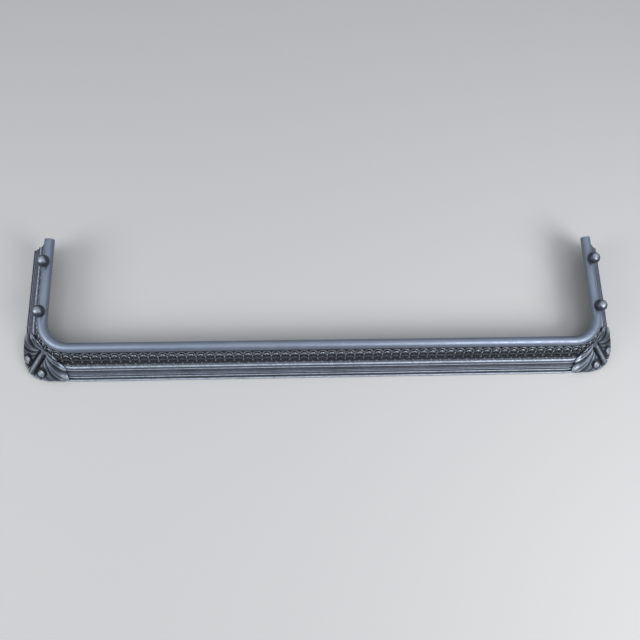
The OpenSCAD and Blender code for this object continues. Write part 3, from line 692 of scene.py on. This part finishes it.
class FENDER_OT_acanthus(bpy.types.Operator):
    """Carves the acanthus leaf on each front corner"""

    bl_idname = "fender.acanthus"
    bl_label = "Acanthus corners"

    def execute(self, context):
        plan, finish = Plan(), leaf_finish()
        patches = [leaf_surface(plan), leaf_strap(plan)]
        patches += [leaf_stud(plan, bearing) for bearing in STUD_BEARINGS]
        boss_h = leaf_crest(plan, EYE_S) * 0.86 + EYE_LIFT
        for side in (-1, 1):
            patches.append(leaf_scroll(plan, side))
            patches.append(leaf_boss(plan, side * EYE_X, EYE_S, boss_h, EYE_BOSS))
        make_piece("right_acanthus_carving", patches, finish, sharp=60,
                   replaces=("right_corner_acanthus",))
        make_piece("left_acanthus_carving", mirrored(patches), finish, sharp=60,
                   replaces=("left_corner_acanthus",))
        return {"FINISHED"}


# ---- Finishes ----
# Features per metre of the slow clouds of soot, the patches of wear and the cast grain
CLOUDS, PATCHES, GRAIN = 22, 140, 1100
# Members of the kerb down its fall from the ledge: middle and half width in mm, and how bright the painted
# highlight on its worn middle is
KERB_MEMBERS = (
    (1.7, 2.0, 0.85),  # fillet
    (8.2, 2.8, 0.9),  # band
    (18.2, 1.5, 0.66),  # upper reed
    (21.5, 1.5, 0.74),  # lower reed
    (26.4, 2.0, 1.0),  # bead
    (33.2, 2.2, 0.95),  # torus
)


def add_node(tree, kind, **settings):
    """A new node with its settings."""
    node = tree.nodes.new(kind)
    for key, value in settings.items():
        setattr(node, key, value)
    return node


def noise(tree, coordinates, scale, detail, roughness=0.55):
    """Noise on object coordinates, its factor from 0 to 1; scale is features per metre."""
    node = add_node(tree, "ShaderNodeTexNoise")
    node.inputs["Scale"].default_value = scale
    node.inputs["Detail"].default_value = detail
    node.inputs["Roughness"].default_value = roughness
    tree.links.new(coordinates, node.inputs["Vector"])
    return node.outputs["Fac"]


def ramp(tree, value, low, high, to_low=0.0, to_high=1.0):
    """A value from low to high brought to the range from to_low to to_high, smoothly and no further."""
    node = add_node(tree, "ShaderNodeMapRange", interpolation_type="SMOOTHSTEP")
    for name, number in (("From Min", low), ("From Max", high), ("To Min", to_low), ("To Max", to_high)):
        node.inputs[name].default_value = number
    tree.links.new(value, node.inputs["Value"])
    return node.outputs["Result"]


def math_node(tree, operation, a, b, clamp=True):
    """One operation on two numbers or sockets, its result kept between 0 and 1 if it is clamped."""
    node = add_node(tree, "ShaderNodeMath", operation=operation, use_clamp=clamp)
    for socket, value in zip(node.inputs, (a, b)):
        if isinstance(value, (int, float)):
            socket.default_value = value
        else:
            tree.links.new(value, socket)
    return node.outputs["Value"]


def mix_colour(tree, factor, a, b):
    """Colour a at factor 0 and b at 1. A Mix node's colours are its inputs 6 and 7 and its output 2."""
    node = add_node(tree, "ShaderNodeMix", data_type="RGBA")
    tree.links.new(factor, node.inputs[0])
    for index, value in ((6, a), (7, b)):
        if isinstance(value, bpy.types.NodeSocket):
            tree.links.new(value, node.inputs[index])
        else:
            node.inputs[index].default_value = (*value, 1)
    return node.outputs[2]


def shade(colour, factor):
    """A colour made lighter or darker."""
    return [part * factor for part in colour]


def axes_of(tree, place):
    """x, y and z of a place."""
    node = add_node(tree, "ShaderNodeSeparateXYZ")
    tree.links.new(place, node.inputs[0])
    return node.outputs


def worn_edges(tree, radius, least, most):
    """How sharp an outward edge is: the angle between the true normal and one rounded over a small radius."""
    rounded = add_node(tree, "ShaderNodeBevel", samples=4)
    rounded.inputs["Radius"].default_value = radius
    true = add_node(tree, "ShaderNodeNewGeometry")
    dot = add_node(tree, "ShaderNodeVectorMath", operation="DOT_PRODUCT")
    tree.links.new(rounded.outputs["Normal"], dot.inputs[0])
    tree.links.new(true.outputs["Normal"], dot.inputs[1])
    return ramp(tree, math_node(tree, "SUBTRACT", 1.0, dot.outputs["Value"]), least, most)


def painted_crest(tree, place):
    """The crests that a piece's own mesh carries, whatever its place."""
    return add_node(tree, "ShaderNodeAttribute", attribute_name="crest").outputs["Fac"]


def kerb_highlights_and_shade(tree, place):
    """Painted highlights and painted shade on the kerb's mouldings, by their place on its section; the
    highlighted crests are also worn. With d the distance out from the rail's centreline, d = hypot(max(|x| -
    corner x, 0), max(corner y - y, 0)) - corner radius, a place lies s = (d - ledge) fall_d + (z - ledge
    height) fall_z down the fall from the ledge to the plinth. Each member carries a painted highlight in its
    middle and painted shade at both sides."""
    plan, size = Plan(), sizes()
    # Painted shade between the members, and mild painted highlights on the ledge and plinth
    side_level, ledge_level, plinth_level = 0.2, 0.6, 0.8
    calc = partial(math_node, tree, clamp=False)
    run, drop = size.splay - size.ledge_out, size.kerb_height - size.plinth_height
    fall = math.hypot(run, drop)
    x, y, z = axes_of(tree, place)
    beyond = calc("SUBTRACT", calc("ABSOLUTE", x, 0), plan.corner_x)
    ahead = calc("SUBTRACT", plan.corner_y, y)
    squares = [calc("POWER", calc("MAXIMUM", side, 0), 2) for side in (beyond, ahead)]
    reach = calc("SQRT", calc("ADD", *squares), 0)
    out = calc("SUBTRACT", reach, plan.corner_r + size.ledge_out)
    low = calc("SUBTRACT", size.kerb_height, z)
    down = calc("ADD", calc("MULTIPLY", out, run / fall ** 2), calc("MULTIPLY", low, drop / fall ** 2))
    member = add_node(tree, "ShaderNodeValToRGB")
    tree.links.new(down, member.inputs[0])
    stops = member.color_ramp.elements
    stops[0].position, stops[1].position = 0, 1
    for middle, half, crest in KERB_MEMBERS:
        for s, level in ((middle - half, side_level), (middle - half / 2, crest), (middle + half / 2, crest),
                         (middle + half, side_level)):
            stops.new(min(1, s * MM / fall)).color = (level, level, level, 1)
    for stop, level in ((stops[0], ledge_level), (stops[-1], plinth_level)):
        stop.color = (level, level, level, 1)
    return member.outputs["Color"]


def fret_foot_highlight(tree, place):
    """A painted highlight along the foot of the fret, just above the ledge."""
    ledge = sizes().kerb_height
    return ramp(tree, axes_of(tree, place)["Z"], ledge + 7 * MM, ledge + 1 * MM, 0.5, 0.85)


def knob_top_highlight(tree, place):
    """A painted highlight on the top of each ball, where hands also rub it."""
    top, cap = cad_box[1][2], 0.35 * sizes().ball_radius
    return ramp(tree, axes_of(tree, place)["Z"], top - cap, top, 0.5, 0.75)


def cast_grain(tree, place, patches, strength):
    """Normals of a cast skin: fine grain over the patches of wear."""
    bumps = add_node(tree, "ShaderNodeMath", operation="MULTIPLY_ADD")
    tree.links.new(patches, bumps.inputs[0])
    bumps.inputs[1].default_value = 1.6
    tree.links.new(noise(tree, place, GRAIN, 3), bumps.inputs[2])
    bump = add_node(tree, "ShaderNodeBump")
    bump.inputs["Strength"].default_value = strength
    bump.inputs["Distance"].default_value = 0.35 * MM
    tree.links.new(bumps.outputs["Value"], bump.inputs["Height"])
    return bump.outputs["Normal"]


def iron_finish(name, base, worn, grime_and_shade, *, metallic, rough, rough_worn, grain, wear_radius, recess,
                crest=None, mottle=1.0):
    """Iron: base colour mottled by slow noise, brighter on worn edges and with painted highlights where its
    crest map is high, darkened in the recesses by grime and painted shade, with a cast grain. An edge wears
    over wear_radius; the recesses are where other iron is nearer than recess, and a crest map below one half
    adds painted shade too."""
    material = bpy.data.materials.get(name)
    if material:
        return material
    material = bpy.data.materials.new(name)
    material.use_nodes = True
    tree = material.node_tree
    shader = tree.nodes["Principled BSDF"]
    place = add_node(tree, "ShaderNodeTexCoord").outputs["Object"]
    clouds, patches = noise(tree, place, CLOUDS, 5), noise(tree, place, PATCHES, 7, 0.65)
    # Ambient occlusion finds the recesses, which get soot and painted shade
    hidden = add_node(tree, "ShaderNodeAmbientOcclusion", samples=6)
    hidden.inputs["Distance"].default_value = recess
    high, sunk = worn_edges(tree, wear_radius, 0.02, 0.25), ramp(tree, hidden.outputs["AO"], 0.75, 0.25)
    # The crest map paints highlights on ridges and shade in hollows
    if crest:
        level = crest(tree, place)
        high = math_node(tree, "ADD", high, ramp(tree, level, 0.5, 1))
        sunk = math_node(tree, "ADD", sunk, ramp(tree, level, 0.5, 0))
    # Worn edges with the crest map's painted highlights, in patches
    wear_and_highlight = math_node(tree, "MULTIPLY", high, ramp(tree, patches, 0.3, 0.62, 0.45, 1))
    deep = math_node(tree, "MULTIPLY", sunk, ramp(tree, clouds, 0.35, 0.7, 0.75, 1))
    pale = mix_colour(tree, ramp(tree, patches, 0.35, 0.7, 0, 0.5 * mottle), base, shade(base, 1.55))
    mottled = mix_colour(tree, ramp(tree, clouds, 0.4, 0.75, 0, 0.45 * mottle), pale, shade(base, 0.6))
    worn_and_highlit = mix_colour(tree, wear_and_highlight, mottled, worn)
    # Recesses darkened towards the grime colour (soot, rust or the fret's dark iron) and painted shade
    grimed_and_shaded = mix_colour(tree, math_node(tree, "MULTIPLY", deep, 0.92), worn_and_highlit, grime_and_shade)
    tree.links.new(grimed_and_shaded, shader.inputs["Base Color"])
    shader.inputs["Metallic"].default_value = metallic
    mixed = add_node(tree, "ShaderNodeMix", data_type="FLOAT")
    tree.links.new(wear_and_highlight, mixed.inputs[0])
    tree.links.new(ramp(tree, patches, 0.3, 0.75, rough - 0.07, rough + 0.12), mixed.inputs[2])
    mixed.inputs[3].default_value = rough_worn
    dull = math_node(tree, "ADD", mixed.outputs[0], math_node(tree, "MULTIPLY", deep, 0.3))
    tree.links.new(dull, shader.inputs["Roughness"])
    tree.links.new(cast_grain(tree, place, patches, grain), shader.inputs["Normal"])
    return material


def kerb_finish():
    c = colours()
    return iron_finish("black_leaded_kerb", c.kerb, c.crest, c.grime_and_shade, metallic=0.5, rough=0.48,
                       rough_worn=0.42, grain=0.35, wear_radius=0.9 * MM, recess=5 * MM, crest=kerb_highlights_and_shade)


def leaf_finish():
    c = colours()
    # The leaf's crest attribute paints highlights on ridges, in a dimmer copy of the crest colour, and shade
    # in hollows
    return iron_finish("black_leaded_leaf", c.kerb, shade(c.crest, 0.6), c.grime_and_shade, metallic=0.75, rough=0.48,
                       rough_worn=0.42, grain=0.45, wear_radius=0.9 * MM, recess=8 * MM, crest=painted_crest)


def fret_finish():
    # The fret's iron is painted near black as shade, and its foot gets a painted highlight
    c = colours()
    return iron_finish("shaded_fret_iron", c.fret, c.ribs, c.grime_and_shade, metallic=0.7, rough=0.46, rough_worn=0.36,
                       grain=0.5, wear_radius=0.5 * MM, recess=3 * MM, crest=fret_foot_highlight)


def rib_finish():
    # A lighter copy of the fret's iron, as painted highlight and wear; the ribs' bases sink into the fret's
    # painted shade
    c = colours()
    return iron_finish("highlit_worn_fret_ribs", shade(c.ribs, 0.45), c.ribs, c.fret, metallic=0.8, rough=0.4,
                       rough_worn=0.32, grain=0.4, wear_radius=0.5 * MM, recess=3 * MM, crest=painted_crest)


def rail_finish():
    c = colours()
    return iron_finish("burnished_rail", c.rail, c.crest, c.grime_and_shade, metallic=0.85, rough=0.46, rough_worn=0.36,
                       grain=0.15, wear_radius=1.0 * MM, recess=4 * MM, mottle=0.35)


def knob_finish():
    c = colours()
    return iron_finish("polished_knob", c.knob, c.crest, c.grime_and_shade, metallic=0.55, rough=0.36, rough_worn=0.34,
                       grain=0.2, wear_radius=0.8 * MM, recess=4 * MM, crest=knob_top_highlight, mottle=0.5)


def steel_finish():
    c = colours()
    return iron_finish("rusted_fastener", c.steel, c.worn_steel, c.rust, metallic=0.6, rough=0.55,
                       rough_worn=0.4, grain=0.6, wear_radius=0.4 * MM, recess=3 * MM)


# Finish of each kind of casting, by the last word of its node's name
CAD_FINISHES = {
    "kerb": kerb_finish,
    "fret": fret_finish,
    "rail": rail_finish,
    "knob": knob_finish,
    "acanthus": kerb_finish,
}
FASTENERS = ("knob_studs", "knob_nuts", "rail_screws", "fret_screws", "joint_bolts", "joint_nuts",
             "acanthus_nuts")


class FENDER_OT_castings(bpy.types.Operator):
    """Gives every casting, the rail and the fasteners their iron"""

    bl_idname = "fender.castings"
    bl_label = "Castings and fasteners"

    def execute(self, context):
        for name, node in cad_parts.items():
            finish = steel_finish if name in FASTENERS else CAD_FINISHES[name.split("_")[-1]]
            for slot in node.material_slots:
                slot.material = finish()
        return {"FINISHED"}


# ---- Stage ----
# Half side of the floor, and how far it lies under the foot, in metres
FLOOR_REACH, FLOOR_DROP = 6.0, 0.2 * MM
# Each lamp's name, place, target, width in metres and power in watts
LAMPS = (
    ("overhead", (0.3, -0.2, 2.3), (0.0, 0.0, 0.0), 3.0, 15),
    ("front_right", (1.3, -1.0, 1.5), (0.5, -0.1, 0.0), 1.2, 38),
    ("front_left", (-1.7, -0.6, 1.3), (-0.5, -0.1, 0.0), 1.2, 22),
)
# Light of the lamps and of the sky, and the sky as the camera and reflections see it
LAMP_COLOUR, SKY_LIGHT, SKY_SEEN = (0.93, 0.96, 1.0), (0.80, 0.87, 1.0, 1), (0.88, 0.93, 1.0, 1)
# The camera as fitted to the photograph: focal length, frame and centre row in pixels, sensor width in mm,
# place in metres, and its turn, tilt and roll in radians
FOCAL_PX, FRAME_PX, CENTRE_ROW, SENSOR = 594.2, 640, 320.5, 36
CAMERA_PLACE = (-0.0829, -0.3312, 1.2188)
TURN, TILT, ROLL = -0.230, 0.259, 0.211


class FENDER_OT_stage(bpy.types.Operator):
    """Sets the pale floor, the soft light and the camera"""

    bl_idname = "fender.stage"
    bl_label = "Floor, light and camera"

    def execute(self, context):
        scene = context.scene
        scene.view_settings.view_transform = "Standard"
        self.floor(scene)
        self.sky(scene)
        for lamp in LAMPS:
            self.lamp(scene, *lamp)
        self.camera(scene)
        return {"FINISHED"}

    def floor(self, scene):
        """A plain pale floor just under the foot."""
        mesh = bpy.data.meshes.new("floor")
        square = ((-1, -1), (1, -1), (1, 1), (-1, 1))
        corners = [(x * FLOOR_REACH, y * FLOOR_REACH, -FLOOR_DROP) for x, y in square]
        mesh.from_pydata(corners, [], [(0, 1, 2, 3)])
        floor = bpy.data.objects.new("floor", mesh)
        scene.collection.objects.link(floor)
        material = bpy.data.materials.new("pale_floor")
        material.use_nodes = True
        shader = material.node_tree.nodes["Principled BSDF"]
        shader.inputs["Base Color"].default_value = (*colours().floor, 1)
        shader.inputs["Roughness"].default_value = 0.9
        mesh.materials.append(material)

    def sky(self, scene):
        """A soft sky whose light falls mostly from overhead. The camera and reflections see it paler."""
        world = bpy.data.worlds.new("soft_sky")
        scene.world = world
        world.use_nodes = True
        tree = world.node_tree
        height = axes_of(tree, add_node(tree, "ShaderNodeTexCoord").outputs["Generated"])["Z"]
        light, seen = tree.nodes["Background"], add_node(tree, "ShaderNodeBackground")
        light.inputs["Color"].default_value = SKY_LIGHT
        seen.inputs["Color"].default_value = SKY_SEEN
        tree.links.new(ramp(tree, height, 0.1, 0.9, 0.04, 0.75), light.inputs["Strength"])
        tree.links.new(ramp(tree, height, 0.0, 0.8, 0.5, 0.9), seen.inputs["Strength"])
        rays = add_node(tree, "ShaderNodeLightPath").outputs
        reflected = math_node(tree, "ADD", rays["Is Glossy Ray"], rays["Is Transmission Ray"])
        mix = add_node(tree, "ShaderNodeMixShader")
        tree.links.new(math_node(tree, "ADD", rays["Is Camera Ray"], reflected), mix.inputs[0])
        tree.links.new(light.outputs[0], mix.inputs[1])
        tree.links.new(seen.outputs[0], mix.inputs[2])
        tree.links.new(mix.outputs[0], tree.nodes["World Output"].inputs["Surface"])

    def lamp(self, scene, name, place, target, width, power):
        """A square soft box that faces a target."""
        data = bpy.data.lights.new(name, "AREA")
        data.shape = "SQUARE"
        data.size = width
        data.energy = power
        data.color = LAMP_COLOUR
        lamp = bpy.data.objects.new(name, data)
        lamp.location = place
        lamp.rotation_euler = (Vector(target) - Vector(place)).to_track_quat("-Z", "Y").to_euler()
        scene.collection.objects.link(lamp)

    def camera(self, scene):
        """The photograph's own viewpoint: above and a little in front, turned slightly to the left."""
        data = bpy.data.cameras.new("camera")
        data.sensor_width = SENSOR
        data.lens = FOCAL_PX / FRAME_PX * data.sensor_width
        data.clip_end = 50
        data.shift_y = (CENTRE_ROW - FRAME_PX / 2) / FRAME_PX
        camera = bpy.data.objects.new("camera", data)
        camera.matrix_world = (Matrix.Translation(CAMERA_PLACE) @ Matrix.Rotation(TURN, 4, "Z")
                               @ Matrix.Rotation(TILT, 4, "X") @ Matrix.Rotation(ROLL, 4, "Z"))
        scene.collection.objects.link(camera)
        scene.camera = camera


class FENDER_PT_panel(bpy.types.Panel):
    """Shows the fender's sizes, colours and operators in the sidebar"""

    bl_label = "Fire fender"
    bl_space_type = "VIEW_3D"
    bl_region_type = "UI"
    bl_category = "Fender"

    def draw(self, context):
        for group in (context.scene.fender_sizes, context.scene.fender_colours):
            for name in group.__annotations__:
                self.layout.prop(group, name)
        for operator in OPERATORS:
            self.layout.operator(operator.bl_idname)


OPERATORS = (FENDER_OT_castings, FENDER_OT_fret_relief, FENDER_OT_acanthus, FENDER_OT_stage)
CLASSES = (FenderSizes, FenderColours, *OPERATORS, FENDER_PT_panel)


def register():
    for cls in CLASSES:
        bpy.utils.register_class(cls)
    bpy.types.Scene.fender_sizes = PointerProperty(type=FenderSizes)
    bpy.types.Scene.fender_colours = PointerProperty(type=FenderColours)


def unregister():
    del bpy.types.Scene.fender_colours
    del bpy.types.Scene.fender_sizes
    for cls in reversed(CLASSES):
        bpy.utils.unregister_class(cls)


def main():
    """Dresses the frame: its castings, fret relief, acanthus corners, floor, light and camera."""
    register()
    bpy.ops.fender.castings()
    bpy.ops.fender.fret_relief()
    bpy.ops.fender.acanthus()
    bpy.ops.fender.stage()


if __name__ == "__main__":
    main()
